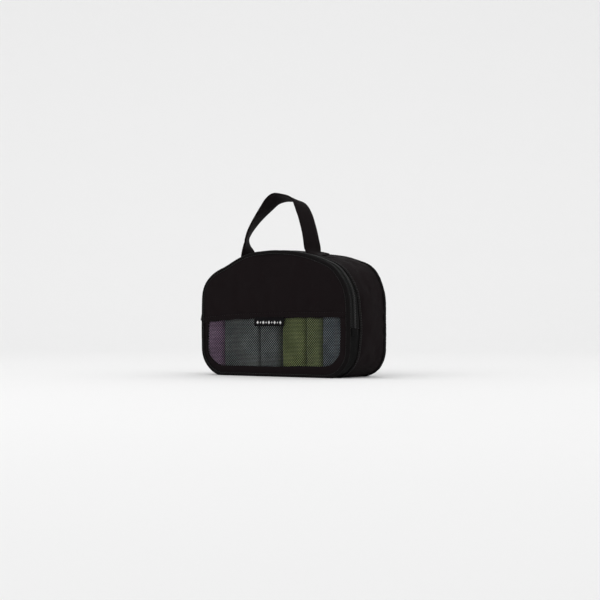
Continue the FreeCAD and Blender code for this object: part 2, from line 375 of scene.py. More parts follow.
def inside_loop(points, loop):
    """Which points are inside a closed loop of 2D points."""
    inside = np.zeros(len(points), bool)
    x, z = points[:, 0], points[:, 1]
    for (ax, az), (bx, bz) in zip(loop, np.roll(loop, -1, axis=0)):
        if az == bz:
            continue
        crosses = (az > z) != (bz > z)
        inside ^= crosses & (x < (bx - ax) * (z - az) / (bz - az) + ax)
    return inside


def distance_to_loop(points, loop):
    """Distance from each point to the nearest point of a closely spaced loop."""
    return np.array([np.min(np.hypot(loop[:, 0] - x, loop[:, 1] - z)) for x, z in points])


def pin(piece, points):
    """Marks the points that the simulation holds still."""
    piece.vertex_groups.new(name="pin").add([int(i) for i in points], 1.0, "REPLACE")


def panel(name, loop, depth, spacing, material, facing=-1):
    """A flat panel filled with even triangles. depth(x, z) gives its y. facing is -1 towards the front."""
    low, high = loop.min(0), loop.max(0)
    rows = np.arange(low[1], high[1], spacing * math.sqrt(3) / 2)
    seeds = []
    for i, z in enumerate(rows):
        seeds += [(x, z) for x in np.arange(low[0] + (i % 2) * spacing / 2, high[0], spacing)]
    seeds = np.array(seeds)
    seeds = seeds[inside_loop(seeds, loop)]
    clear_of_rim = 0.55 * spacing
    seeds = seeds[distance_to_loop(seeds, loop) > clear_of_rim]
    points = [Vector(p) for p in np.concatenate([loop, seeds])]
    rim = list(range(len(loop)))
    result = delaunay_2d_cdt(points, [], [rim], 1, 1e-7)
    flat = np.array([p[:] for p in result[0]])
    faces = [tuple(face) if facing < 0 else tuple(reversed(face)) for face in result[2]]
    verts = np.stack([flat[:, 0], depth(flat[:, 0], flat[:, 1]), flat[:, 1]], -1)
    piece = make(name, verts, faces, material, flat)
    on_rim = distance_to_loop(flat, loop) < 0.1 * MM
    pin(piece, np.nonzero(on_rim)[0])
    return piece


# ---------------------------------------------------------------- materials


class Material:
    """A procedural material. Its methods add nodes and return their output sockets."""

    def __init__(self, name, roughness, sheen=0.0, metallic=0.0, specular=0.5):
        self.made = bpy.data.materials.new(name)
        self.made.use_nodes = True
        self.tree = self.made.node_tree
        self.shader = self.tree.nodes["Principled BSDF"]
        values = {"Roughness": roughness, "Metallic": metallic, "Specular IOR Level": specular,
                  "Sheen Weight": sheen, "Sheen Roughness": 0.45}
        for key, value in values.items():
            self.shader.inputs[key].default_value = value

    def node(self, kind, **values):
        """A node with its properties and input values set."""
        made = self.tree.nodes.new(kind)
        for key, value in values.items():
            if hasattr(made, key):
                setattr(made, key, value)
            else:
                made.inputs[key.replace("_", " ")].default_value = value
        return made

    def link(self, output, target):
        """Links an output socket to an input socket."""
        self.tree.links.new(output, target)

    def cloth_place(self):
        """Metres along the cloth."""
        return self.node("ShaderNodeTexCoord").outputs["UV"]

    def object_place(self):
        """Metres in the object's own space."""
        return self.node("ShaderNodeTexCoord").outputs["Object"]

    def at(self, place, output, kind, **values):
        """An output of a node that is looked up at a place."""
        made = self.node(kind, **values)
        self.link(place, made.inputs["Vector"])
        return made.outputs[output]

    def turned(self, place, angle):
        """A place turned in the plane of the cloth."""
        return self.at(place, "Vector", "ShaderNodeMapping", Rotation=(0, 0, angle))

    def bands(self, place, axis, pitch):
        """A sine across one axis, from 0 to 1."""
        look = {"bands_direction": axis, "wave_profile": "SIN", "Scale": math.pi / (10 * pitch)}
        return self.at(place, "Fac", "ShaderNodeTexWave", **look)

    def noise(self, place, size, detail=2.0):
        """Soft noise with features of about one size."""
        return self.at(place, "Fac", "ShaderNodeTexNoise", Scale=1 / size, Detail=detail)

    def math(self, operation, first, second):
        """One operation on two sockets or numbers."""
        node = self.node("ShaderNodeMath", operation=operation)
        for i, value in enumerate((first, second)):
            if isinstance(value, (int, float)):
                node.inputs[i].default_value = value
            else:
                self.link(value, node.inputs[i])
        return node.outputs[0]

    def total(self, *parts):
        """The sum of sockets, each times its share."""
        scaled = [self.math("MULTIPLY", value, share) for value, share in parts]
        result = scaled[0]
        for value in scaled[1:]:
            result = self.math("ADD", result, value)
        return result

    def spread(self, value, low, high, to_low, to_high):
        """A value moved from one range to another."""
        node = self.node("ShaderNodeMapRange", From_Min=low, From_Max=high, To_Min=to_low, To_Max=to_high)
        self.link(value, node.inputs["Value"])
        return node.outputs["Result"]

    def mixed(self, share, first, second):
        """A colour between two colours or sockets."""
        node = self.node("ShaderNodeMix", data_type="RGBA")
        self.link(share, node.inputs["Factor"])
        for socket, value in ((node.inputs[6], first), (node.inputs[7], second)):
            if isinstance(value, tuple):
                socket.default_value = (*value, 1)
            else:
                self.link(value, socket)
        return node.outputs[2]

    def colour(self, output):
        """Sets the surface's colour."""
        self.link(output, self.shader.inputs["Base Color"])

    def rough(self, output):
        """Sets the surface's roughness."""
        self.link(output, self.shader.inputs["Roughness"])

    def bump(self, height, strength, distance):
        """Adds relief on top of any that is there."""
        node = self.node("ShaderNodeBump", Strength=strength, Distance=distance)
        self.link(height, node.inputs["Height"])
        target = self.shader.inputs["Normal"]
        if target.is_linked:
            self.link(target.links[0].from_socket, node.inputs["Normal"])
        self.link(node.outputs["Normal"], target)


def woven(name, dark, light, pitch, roughness=0.78, sheen=0.12, ribs=None, relief=0.5, specular=0.2):
    """Plain weave, or ribbed tape where ribs is the pitch of its ribs across the tape."""
    cloth = Material(name, roughness, sheen, specular=specular)
    place = cloth.cloth_place()
    warp = cloth.bands(place, "X", pitch)
    weft = cloth.bands(place, "Y", ribs or pitch)
    weave = cloth.math("MULTIPLY", warp, weft)
    cloud = cloth.noise(cloth.object_place(), 18 * MM, 4)
    yarn = cloth.noise(place, 1.1 * MM, 2)
    tone = cloth.total((weave, 0.35), (cloud, 0.45), (yarn, 0.3))
    cloth.colour(cloth.mixed(cloth.spread(tone, 0.25, 0.8, 0, 1), dark, light))
    cloth.rough(cloth.spread(cloud, 0.3, 0.7, roughness - 0.08, roughness + 0.1))
    cloth.bump(weave, relief, 0.12 * MM)
    cloth.bump(yarn, 0.15, 0.1 * MM)
    return cloth.made


def knitted(name, dark, light, wale):
    """Jersey: columns of small V-shaped loops, with a soft uneven colour."""
    cloth = Material(name, 0.9, sheen=0.35, specular=0.2)
    place = cloth.cloth_place()
    column = cloth.bands(place, "X", wale)
    left = cloth.bands(cloth.turned(place, math.radians(35)), "Y", wale * 0.8)
    right = cloth.bands(cloth.turned(place, math.radians(-35)), "Y", wale * 0.8)
    loops = cloth.math("MULTIPLY", cloth.math("MAXIMUM", left, right), column)
    cloud = cloth.noise(cloth.object_place(), 24 * MM, 4)
    tone = cloth.total((loops, 0.18), (cloud, 0.9))
    cloth.colour(cloth.mixed(cloth.spread(tone, 0.3, 0.75, 0, 1), dark, light))
    cloth.bump(loops, 0.5, 0.25 * MM)
    cloth.bump(cloud, 0.3, 1.2 * MM)
    return cloth.made


def moulded(name, dark, light, roughness, metallic=0.0):
    """Moulded plastic or lacquered metal with a fine grain and scuffs."""
    hard = Material(name, roughness, metallic=metallic, specular=0.3)
    place = hard.object_place()
    cloud = hard.noise(place, 5 * MM, 4)
    fine = hard.noise(place, 0.35 * MM, 3)
    scuff = hard.spread(hard.noise(place, 1.6 * MM, 5), 0.62, 0.72, 0, 0.5)
    base = hard.mixed(cloud, dark, light)
    hard.colour(hard.mixed(scuff, base, tuple(min(1, 1.7 * c + 0.01) for c in light)))
    hard.rough(hard.spread(fine, 0.3, 0.7, roughness - 0.07, roughness + 0.12))
    hard.bump(fine, 0.18, 0.05 * MM)
    return hard.made


BLACK = (0.0056, 0.0036, 0.0041)
BLACK_LIGHT = (0.0094, 0.0063, 0.0070)
CASE_CLOTH = woven("case_cloth", BLACK, BLACK_LIGHT, 0.55 * MM, sheen=0.012, specular=0.05)
BAND_CLOTH = woven("band_cloth", (0.0024, 0.0024, 0.0024), (0.0052, 0.0053, 0.0052), 0.55 * MM, sheen=0.012,
                   specular=0.06)
LINING_CLOTH = woven("lining_cloth", (0.010, 0.009, 0.010), (0.017, 0.015, 0.016), 0.45 * MM, sheen=0.1)
TAPE_CLOTH = woven("binding_cloth", (0.0033, 0.0027, 0.0029), (0.0062, 0.0052, 0.0054), 1.1 * MM, 0.6, 0.006,
                   ribs=0.5 * MM, specular=0.05)
ZIP_CLOTH = woven("zip_cloth", (0.0034, 0.0035, 0.0034), (0.0105, 0.0110, 0.0107), 1.3 * MM, 0.62, 0.015,
                  ribs=1.3 * MM, relief=0.8, specular=0.08)
WEBBING_CLOTH = woven("webbing_cloth", BLACK, (0.0092, 0.0064, 0.0070), 1.6 * MM, 0.75, 0.012, ribs=1.1 * MM,
                      relief=0.8, specular=0.06)
NET_CLOTH = woven("net_cloth", (0.0045, 0.0045, 0.0047), (0.0085, 0.0085, 0.009), 0.3 * MM, 0.6, 0.03,
                  specular=0.12)
LABEL_CLOTH = woven("label_cloth", (0.0022, 0.0020, 0.0024), (0.0042, 0.0038, 0.0046), 0.35 * MM, 0.65, 0.01,
                    specular=0.05)
THREAD = woven("thread", (0.0043, 0.0035, 0.0038), (0.0074, 0.0064, 0.0068), 0.3 * MM, 0.5, 0.015,
               specular=0.1)
SEAM_THREAD = woven("seam_thread", (0.0075, 0.0072, 0.0070), (0.0155, 0.015, 0.0148), 0.3 * MM, 0.45, 0.03,
                    specular=0.3)
MOTIF_THREAD = woven("motif_thread", (0.52, 0.52, 0.52), (0.78, 0.78, 0.77), 0.3 * MM, 0.6, 0.1)
COIL_NYLON = moulded("coil_nylon", (0.0045, 0.0046, 0.0046), (0.0095, 0.0098, 0.0097), 0.42)
SLIDER_LACQUER = moulded("slider_lacquer", (0.008, 0.008, 0.008), (0.016, 0.016, 0.016), 0.3, metallic=0.55)
PULL_PLASTIC = moulded("pull_plastic", (0.045, 0.045, 0.046), (0.075, 0.075, 0.076), 0.48)


# ---------------------------------------------------------------- simulation

DEEPEST_DENT = 0.15 * MM
CLOTH = {"quality": 6, "mass": 0.12, "air_damping": 4, "tension_stiffness": 12, "compression_stiffness": 12,
         "shear_stiffness": 6, "bending_stiffness": 0.6, "vertex_group_mass": "pin", "use_pressure": True}


def vertices_of(piece, value="co"):
    """The places or the normals of a mesh's vertices."""
    return np.array([getattr(vertex, value) for vertex in piece.data.vertices])


def move_to(piece, places):
    """Moves a mesh's vertices."""
    piece.data.vertices.foreach_set("co", places.astype(np.float32).ravel())
    piece.data.update()


def puff(pieces, frames=24):
    """Lets the pinned panels fill out and pucker, all in one run, and keeps the result.

    Each of pieces is the panel, its pressure, the growth of its cloth and the furthest that a point may move.
    """
    scene = bpy.context.scene
    scene.frame_start, scene.frame_end = 1, frames
    before = {}
    for piece, pressure, growth, _ in pieces:
        cloth = piece.modifiers.new("cloth", "CLOTH")
        for key, value in CLOTH.items():
            setattr(cloth.settings, key, value)
        cloth.settings.uniform_pressure_force = pressure
        cloth.settings.shrink_min = -growth
        cloth.settings.effector_weights.gravity = 0
        cloth.collision_settings.use_collision = False
        cloth.point_cache.frame_start, cloth.point_cache.frame_end = 1, frames
        before[piece.name] = vertices_of(piece), vertices_of(piece, "normal")
    for step in range(1, frames + 1):
        scene.frame_set(step)
    nothing = 1e-9
    for piece, _, _, cap in pieces:
        settle_modifiers(piece)
        start, outwards = before[piece.name]
        move = vertices_of(piece) - start
        out = (move * outwards).sum(1, keepdims=True)
        move = move + (np.maximum(out, -DEEPEST_DENT) - out) * outwards
        far = np.linalg.norm(move, axis=1)
        scale = np.where(far > nothing, cap * np.tanh(far / cap) / np.maximum(far, nothing), 0)
        result = start + move * scale[:, None]
        result[:, 2] = np.maximum(result[:, 2], FLOOR_GAP)
        move_to(piece, result)
        piece.vertex_groups.clear()
    scene.frame_set(1)


# ---------------------------------------------------------------- the sewn case


def rim_loop(inset, y, first=None, last=None, step=STEP):
    """The outline at one depth as 2D points, whole or between two distances."""
    s = ring_of(step) if first is None else stretch_of(first, last, step)
    return place(s, -inset, y)[:, [0, 2]]


def back_panel():
    """Back of the case, flat until it is filled out."""
    loop = rim_loop(0.4 * MM, BACK)
    flat = lambda x, z: BACK - 0.3 * MM + 0 * x
    return panel("back_panel_fabric", loop, flat, 4.5 * MM, CASE_CLOTH, facing=1)


def gusset(name, s, first_y, last_y, rows, closed, cloth):
    """A strip of wall cloth between two seams. first_y and last_y are functions of s."""
    across = np.linspace(0, 1, rows)
    y = first_y(s)[:, None] * (1 - across) + last_y(s)[:, None] * across
    fade = 7
    pucker = np.exp(-across * fade) + np.exp(-(1 - across) * fade)
    offset = -0.5 * MM + 0.30 * MM * pucker[None, :] * ripple(s, 7.5 * MM, 11)[:, None]
    piece = grid_sheet(name, place(s[:, None], offset, y), points_of(s[:, None], y), cloth, closed)
    edge = [i * rows + j for i in range(len(s)) for j in (0, rows - 1)]
    if not closed:
        edge += list(range(rows)) + list(range((len(s) - 1) * rows, len(s) * rows))
    pin(piece, edge)
    return piece


def even(value):
    """A depth that is the same all along the outline."""
    return lambda s: np.full(np.shape(s), value)


def hem_rise(x):
    """How far the hem runs above its level in the frame: it climbs from left to right."""
    return 3.9 * MM - 7.4 * MM * np.exp(-(x + 105 * MM) / (65 * MM))


def flap_front():
    """Opaque upper front, down to the hem along the window."""
    edge = HEM_LOW + 1.2 * MM
    right, left = side_distance(edge + hem_rise(HALF_WIDTH)), side_distance(edge + hem_rise(-HALF_WIDTH))
    top = rim_loop(0.4 * MM, FRONT, right, mirrored(left))
    count = round((top[0, 0] - top[-1, 0]) / STEP)
    x = np.linspace(top[-1, 0], top[0, 0], count + 1)[1:-1]
    hem = np.stack([x, edge + hem_rise(x)], -1)
    flat = lambda x, z: FRONT + 0.3 * MM + 0 * x
    return panel("flap_fabric", np.concatenate([top, hem]), flat, 4.0 * MM, CASE_CLOTH)


def front_bulge(x, z):
    """How far the front stands forward of its seams where the clothes behind it press."""
    across = np.clip(1 - (x / (HALF_WIDTH - 6 * MM)) ** 2, 0, 1) ** 0.6
    up = np.clip(z / (34 * MM), 0, 1) * np.clip((HEIGHT - z) / (70 * MM), 0, 1)
    return FRONT_FULLNESS * across * up


def window_border():
    """Opaque edge of the window, from the hem down one side, along the bottom and up the other."""
    last = side_distance(HEM_LOW + 7 * MM)
    s = stretch_of(mirrored(last) - PERIMETER, last, 2 * MM)
    x, z = outline_at(s)[0].T
    right, left = np.clip(x / HALF_WIDTH, 0, 1), np.clip(-x / HALF_WIDTH, 0, 1)
    low = np.clip(1 - z / (16 * MM), 0, 1)
    # Narrower halfway up its left side, and wider at the bottom and most of all in the lower right corner
    inset = WINDOW_INSET + 1.0 * MM * right - 4.2 * MM * left * bump(z, 42 * MM, 20 * MM)
    inset = inset + 1.0 * MM * low + 2.2 * MM * right * bump(z, 9 * MM, 14 * MM)
    rim = 0.6 * MM
    offsets = -(rim + np.linspace(0, 1, 7)[None, :] * (inset[:, None] - rim))
    verts = place(s[:, None], offsets, FRONT + 0 * s[:, None])
    verts[..., 1] += 0.35 * MM - front_bulge(verts[..., 0], verts[..., 2])
    verts[..., 1] += 0.16 * MM * ripple(s, 9 * MM, 21)[:, None] * np.linspace(1, 0.2, 7)
    piece = grid_sheet("window_border_fabric", verts, points_of(s[:, None], offsets), CASE_CLOTH, over=True)
    cut = cut_area(piece)
    return thicken(piece, 0.8 * MM), cut


def net():
    """Knitted net with hexagonal holes, one connected sheet from the base to behind the hem."""
    loop = rim_loop(WINDOW_INSET - 6 * MM, FRONT)
    top = HEM_LOW + 8 * MM
    centres = []
    for i in range(int(top / NET_ROW) + 2):
        shift = (i % 2) * NET_PITCH / 2
        centres += [(x, i * NET_ROW) for x in np.arange(-HALF_WIDTH, HALF_WIDTH, NET_PITCH) + shift]
    centres = np.array(centres)
    under_hem = centres[:, 1] < HEM_LOW + 3.5 * MM + hem_rise(centres[:, 0])
    centres = centres[inside_loop(centres, loop) & under_hem]
    angles = np.radians(30 + 60 * np.arange(6))
    ring = np.stack([NET_PITCH / math.sqrt(3) * np.cos(angles), NET_ROW / 1.5 * np.sin(angles)], -1)
    index, points, faces = {}, [], []

    def vertex(x, z):
        key = (round(x * 1e5), round(z * 1e5))
        if key not in index:
            index[key] = len(points)
            points.append((x, z))
        return index[key]

    for centre in centres:
        outer = [vertex(*(centre + r)) for r in ring]
        inner = [vertex(*(centre + NET_OPEN * r)) for r in ring]
        for i in range(6):
            j = (i + 1) % 6
            faces.append((outer[i], outer[j], inner[j], inner[i]))
    flat = np.array(points)
    y = FRONT + 0.75 * MM - front_bulge(flat[:, 0], flat[:, 1])
    verts = np.stack([flat[:, 0], y, flat[:, 1]], -1)
    piece = make("window_net", verts, faces, NET_CLOTH, flat)
    cut = cut_area(piece)
    return thicken(piece, 0.28 * MM), cut


def tape_section(face, into_case, lip, side):
    """Section of a tape folded over a rim: along the panel's face, round the edge and along the wall.

    lip is its reach over the face, and side its reach along the wall.
    """
    proud, bend_radius, bend_depth = BINDING_PROUD, 1.0 * MM, 1.9 * MM
    points = [(-lip, -0.35 * MM), (-lip + 0.8 * MM, -0.75 * MM), (-2.2 * MM, -0.85 * MM)]
    for angle in np.radians((70, 45, 20)):
        across = -bend_radius + (proud + bend_radius) * math.cos(angle)
        points.append((across, bend_radius - bend_depth * math.sin(angle)))
    points += [(proud * 0.95, side * 0.5), (proud * 0.85, side - 0.6 * MM), (proud * 0.45, side)]
    points += [(-0.5 * MM, side), (-0.5 * MM, 0.9 * MM), (-lip, 0.6 * MM)]
    return np.array([(x, face + into_case * y) for x, y in points])


def rim_binding(name, face, into_case, seed, wall_reach=BINDING_REACH):
    """Binding tape round the whole rim of a panel, a little uneven as sewn tape is."""
    def section(s):
        lip = BINDING_REACH + 0.25 * MM * ripple(s, 30 * MM, seed)
        side = wall_reach + 0.25 * MM * ripple(s, 26 * MM, seed + 1)
        points = tape_section(face, into_case, lip, side)
        points[:8] += 0.12 * MM * ripple(s, 6.5 * MM, seed + 2)
        return points

    return flip_outwards(sweep(name, ring_of(2 * MM), section, TAPE_CLOTH, closed=True))


def middle_binding():
    """Tape over the seam between the zip band and the main gusset."""
    def section(s):
        middle = float(seam_y(np.array(s)))
        half = 2.3 * MM + 0.15 * MM * float(ripple(np.array(s), 30 * MM, 31))
        lift = 0.10 * MM * float(ripple(np.array(s), 6 * MM, 32))
        over = [(-1.0, 0.25), (-0.8, 0.75), (-0.4, 1.05), (0.0, 1.15), (0.4, 1.05), (0.8, 0.75), (1.0, 0.25)]
        points = [(h * MM + lift, middle + w * half) for w, h in over]
        return np.array(points + [(-0.6 * MM, middle + half), (-0.6 * MM, middle - half)])

    return flip_outwards(sweep("middle_binding_tape", ring_of(2 * MM), section, TAPE_CLOTH, closed=True))


def inner_tape():
    """Tape that covers the raw edges of the back seam, inside the case."""
    near, far = (corner.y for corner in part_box("inner_seam_tape"))

    def section(s):
        inner = -7.2 * MM + 0.4 * MM * float(ripple(np.array(s), 22 * MM, 41))
        outer, back = -1.8 * MM, far - 0.3 * MM
        return np.array([(outer, near), (outer, back), (inner, back), (inner, near + 0.4 * MM)])

    return flip_outwards(sweep("inner_seam_binding", ring_of(3 * MM), section, LINING_CLOTH, closed=True))


def stitches(name, starts, ends, side, material):
    """A row of thread stitches between starts and ends. side is the way out of the cloth at each."""
    # Share of the stitch's length, and its thickness there as a share of the whole
    swell = ((0.0, 0.35), (0.15, 0.85), (0.5, 1.0), (0.85, 0.85), (1.0, 0.35))
    flatness = 1.25
    shapes = []
    for first, last, out in zip(starts, ends, side):
        along = last - first
        reach = np.linalg.norm(along)
        along = along / reach
        across = np.cross(out, along)
        rings = []
        for share, size in swell:
            middle = first + along * reach * share + out * STITCH_RADIUS * (size - 0.5)
            thick = STITCH_RADIUS * size
            rings.append([middle + thick * (math.cos(a) * across * flatness + math.sin(a) * out)
                          for a in np.radians((0, 60, 120, 180, 270))])
        shapes.append((np.array(rings).reshape(-1, 3), tube_faces(5, 5)))
    return flip_outwards(make(name, *join_shapes(shapes), material))


def outline_stitches(name, s_first, s_last, offset, depth, out, material):
    """Stitches along the outline. out is 'wall' or the y direction that the thread stands out in."""
    count = max(1, int((s_last - s_first) / STITCH_PITCH))
    s = s_first + (np.arange(count) + 0.2) * STITCH_PITCH
    half = 1.1 * MM
    y = depth(s)
    if out == "wall":
        normal = outline_at(s + half)[1]
        side = np.stack([normal[:, 0], 0 * s, normal[:, 1]], -1)
    else:
        side = np.tile([0.0, out, 0.0], (count, 1))
    return stitches(name, place(s, offset, y), place(s + 2 * half, offset, y), side, material)


def straight_stitches(name, first, last, side, material):
    """Stitches along a straight line."""
    reach = np.linalg.norm(last - first)
    count = max(1, int(reach / STITCH_PITCH))
    share = (np.arange(count) + 0.15) / count
    thread = STITCH_PITCH * 0.72
    starts = first + share[:, None] * (last - first)
    ends = starts + (last - first) / reach * thread
    return stitches(name, starts, ends, np.tile(side, (count, 1)), material)


def merged(name, parts):
    """Several pieces of one material as one piece."""
    shapes = []
    for part in parts:
        shapes.append((vertices_of(part), [tuple(face.vertices) for face in part.data.polygons]))
    material = parts[0].data.materials[0]
    for part in parts:
        mesh = part.data
        bpy.data.objects.remove(part)
        bpy.data.meshes.remove(mesh)
    return make(name, *join_shapes(shapes), material)


# ---------------------------------------------------------------- the zip


ZIP_START = side_distance(FOLD + 0.4 * MM)
ZIP_END = mirrored(ZIP_START)


def zip_tape(name, edge_y, chain_side, seed):
    """Half of the zip tape, from its seam to under the teeth. chain_side is -1 for the flap's half."""
    s = stretch_of(ZIP_START, ZIP_END, 2 * MM)
    inner = CHAIN + chain_side * 0.35 * MM
    shoulder = CHAIN + chain_side * 3.3 * MM
    edge = edge_y(s)
    turned_in = shoulder - chain_side * 0.7 * MM
    y = [edge, edge * 0.5 + shoulder * 0.5, 0 * s + shoulder, 0 * s + turned_in, 0 * s + inner]
    y = np.stack(y, -1)
    rise = np.array([-0.5, -0.25, -0.45, -1.15, -1.2]) * MM
    uneven = np.array([1, 1, 0.4, 0, 0])
    offset = rise[None, :] + 0.1 * MM * ripple(s, 9 * MM, seed)[:, None] * uneven
    verts = place(s[:, None], offset, y)
    tape = grid_sheet(name, verts, points_of(s[:, None], y), ZIP_CLOTH, over=chain_side > 0)
    return thicken(tape, 0.55 * MM)


# Rings of a tooth in millimetres: reach over the chain's middle, half width, half height and lift
TOOTH = ((3.1, 0.50, 0.55, -0.35), (2.5, 0.55, 0.75, 0.05), (1.2, 0.58, 0.80, 0.15), (0.1, 0.66, 0.85, 0.1),
         (-0.6, 0.72, 0.80, 0.0), (-0.95, 0.40, 0.45, -0.05))


def zip_teeth(name, chain_side, phase):
    """One row of coil teeth, each a bent loop whose swollen head locks between two of the other row's."""
    angles = np.radians(np.arange(0, 360, 45))
    shapes = []
    for s in np.arange(ZIP_START + phase * TOOTH_PITCH, ZIP_END, TOOTH_PITCH):
        base = place(np.array([s]), 0.0, CHAIN)[0]
        normal = outline_at(s)[1]
        out = np.array([normal[0], 0, normal[1]])
        along = np.array([-out[2], 0, out[0]])
        depth = np.array([0, 1.0, 0])
        rings = []
        for reach, half_width, half_height, lift in TOOTH:
            lean = chain_side * reach * 0.06 * MM
            middle = base + depth * chain_side * reach * MM + out * lift * MM + along * lean
            rings.append([middle + MM * (half_width * math.cos(a) * along + half_height * math.sin(a) * out)
                          for a in angles])
        shapes.append((np.array(rings).reshape(-1, 3), tube_faces(len(TOOTH), len(angles))))
    return flip_outwards(make(name, *join_shapes(shapes), COIL_NYLON))


def end_tab(name, side):
    """Fabric tab over one end of the zip, with its edge turned under."""
    low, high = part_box(name)
    s_low, s_high = side_distance(low.z), side_distance(high.z + 1.2 * MM)
    if side < 0:
        s_low, s_high = mirrored(s_high), mirrored(s_low)
    s = stretch_of(s_low, s_high, 1 * MM)
    y = np.linspace(low.y, high.y, 9)
    inside = np.minimum(from_ends(9)[None, :] / 2, from_ends(len(s))[:, None] / 2)
    rise = np.clip(inside, 0, 1) ** 0.5 * 0.8 * MM - 0.2 * MM
    verts = place(s[:, None], rise, y[None, :])
    tab = grid_sheet(name.replace("tab", "patch"), verts, points_of(s[:, None], y), BAND_CLOTH)
    return flip_outwards(thicken(tab, 0.5 * MM))


# ---------------------------------------------------------------- zip sliders and pulls


def plate(points, low, high, name, material, axes):
    """A flat plate. axes are its origin, the two directions of its outline and the one through it."""
    origin, first, second, third = (np.array(v, float) for v in axes)
    points = np.array(points)
    layers = [origin + points[:, :1] * first + points[:, 1:] * second + t * third for t in (low, high)]
    count = len(points)
    faces = [tuple(range(count)), tuple(reversed(range(count, 2 * count)))]
    faces += [(i, i + count, (i + 1) % count + count, (i + 1) % count) for i in range(count)]
    return flip_outwards(make(name, np.concatenate(layers), faces, material, smooth=True))


def rounded_outline(corners, radius, steps=5):
    """A polygon with rounded corners."""
    result = []
    count = len(corners)
    for i in range(count):
        before, here, after = (np.array(corners[(i + k) % count], float) for k in (-1, 0, 1))
        a, b = before - here, after - here
        a, b = a / np.linalg.norm(a), b / np.linalg.norm(b)
        half = math.acos(np.clip(a @ b, -1, 1)) / 2
        reach = radius / math.tan(half)
        start, end = here + a * reach, here + b * reach
        centre = here + (a + b) / np.linalg.norm(a + b) * radius / math.sin(half)
        first = math.atan2(*(start - centre)[::-1])
        turn = (math.atan2(*(end - centre)[::-1]) - first + math.pi) % (2 * math.pi) - math.pi
        for k in range(steps + 1):
            angle = first + turn * k / steps
            result.append(centre + radius * np.array([math.cos(angle), math.sin(angle)]))
    return np.array(result)


def slider(which, nose):
    """Slider with two rounded plates, its post and a bail."""
    low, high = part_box("zip_slider_" + which)
    wall = -HALF_WIDTH
    middle = (low.z + high.z) / 2
    half = (high.z - low.z) / 2
    axes = ((wall, CHAIN, middle), (0, 1, 0), (0, 0, 1), (-1, 0, 0))
    wide, narrow = 4.2 * MM, 2.9 * MM
    front, waist, back = nose * half, nose * half * 0.25, -nose * half
    shield = [(-wide, front), (wide, front), (wide * 0.96, waist), (narrow, back), (-narrow, back),
              (-wide * 0.96, waist)]
    shield = rounded_outline(shield, 1.3 * MM)
    thin, post_low, post_high = 0.25 * MM, nose * (half - 5 * MM), nose * (half - 1.5 * MM)
    post = [(-thin, post_low), (thin, post_low), (thin, post_high), (-thin, post_high)]
    bail_axes = ((wall, CHAIN, middle), (-1, 0, 0), (0, 0, 1), (0, 1, 0))
    reach, rise = (low.x - wall) * -1, 4.0 * MM
    bail = [(2.0 * MM, -rise), (reach * 0.80, -rise * 0.92), (reach, -rise * 0.45), (reach, rise * 0.45),
            (reach * 0.80, rise * 0.92), (2.0 * MM, rise),
            (2.2 * MM, rise - 0.95 * MM), (reach * 0.70, rise * 0.68), (reach - 0.9 * MM, rise * 0.36),
            (reach - 0.9 * MM, -rise * 0.36), (reach * 0.70, -rise * 0.68), (2.2 * MM, -rise + 0.95 * MM)]
    plates = (
        # name, outline, lower face, upper face, axes
        ("outer", shield, 1.3 * MM, 2.3 * MM, axes),
        ("inner", shield, -2.7 * MM, -1.7 * MM, axes),
        ("post", rounded_outline(post, 0.1 * MM), -1.8 * MM, 1.4 * MM, axes),
        ("bail", bail, -0.95 * MM, 0.95 * MM, bail_axes),
    )
    parts = []
    for name, outline, first, last, way in plates:
        parts.append(plate(outline, first, last, name, SLIDER_LACQUER, way))
    for part in parts:
        soften(part, 0.22 * MM)
    return merged("slider_" + which + "_body", parts)


def pull_axes(which):
    """Pin point of a pull and its directions: down the tab, across it, and out of its face."""
    pin = np.array(JOINTS["pull_" + which + "_swing"]["pos_m"])
    lean = UPPER_PULL_LEAN if which == "upper" else 0.0
    down = np.array([-math.sin(lean), 0.0, -math.cos(lean)])
    across = np.array([0.0, 1.0, 0.0])
    return pin, down, across, np.cross(across, down)


